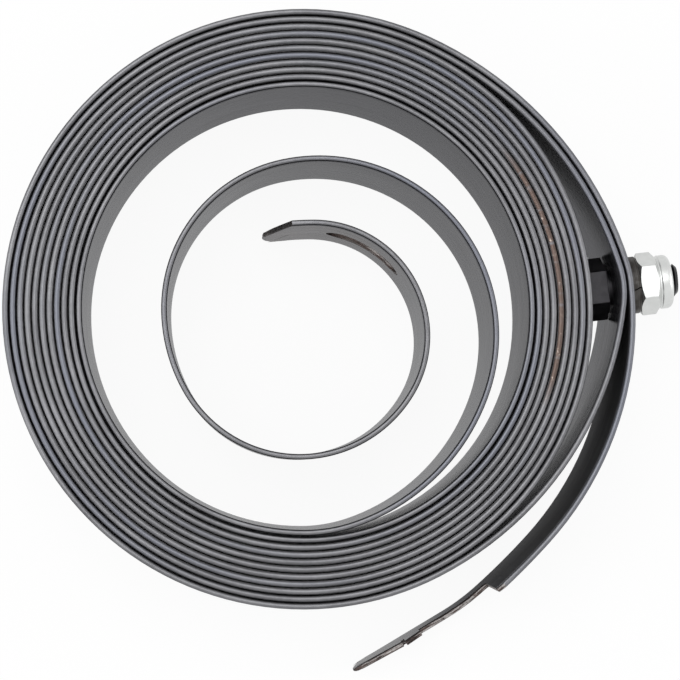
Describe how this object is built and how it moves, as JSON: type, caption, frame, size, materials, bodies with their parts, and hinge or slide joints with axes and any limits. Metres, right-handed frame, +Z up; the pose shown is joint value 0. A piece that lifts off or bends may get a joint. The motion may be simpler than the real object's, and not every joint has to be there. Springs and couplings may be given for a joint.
{
  "type": "constant force spring",
  "caption": "Flat steel strip wound in a spiral coil with a slotted inner end and a toothed outer tongue, its outer turns clamped together by a bolt, washers and a lock nut.",
  "frame": {"origin": "on the coil's axis, level with the strip's lower edge", "axes": "+Z up the strip's width along the coil's axis, +X towards the side with the clamping bolt, -Y towards the outer end's tongue"},
  "size_m": [0.1584, 0.155, 0.035],
  "materials": {
    "spring_steel": "satin, blue-grey, with a rusty stain on one turn's edge",
    "bolt_steel": "dark oxide",
    "washer_steel": "dark and oily",
    "zinc_plate": "bright zinc",
    "black_nylon": "matte"
  },
  "bodies": {
    "root": {"spring_strip": "spring_steel", "hex_bolt": "bolt_steel", "flat_washer": "washer_steel", "lock_washer": "washer_steel", "lock_nut": "zinc_plate", "nylon_insert": "black_nylon"}
  },
  "joints": []
}
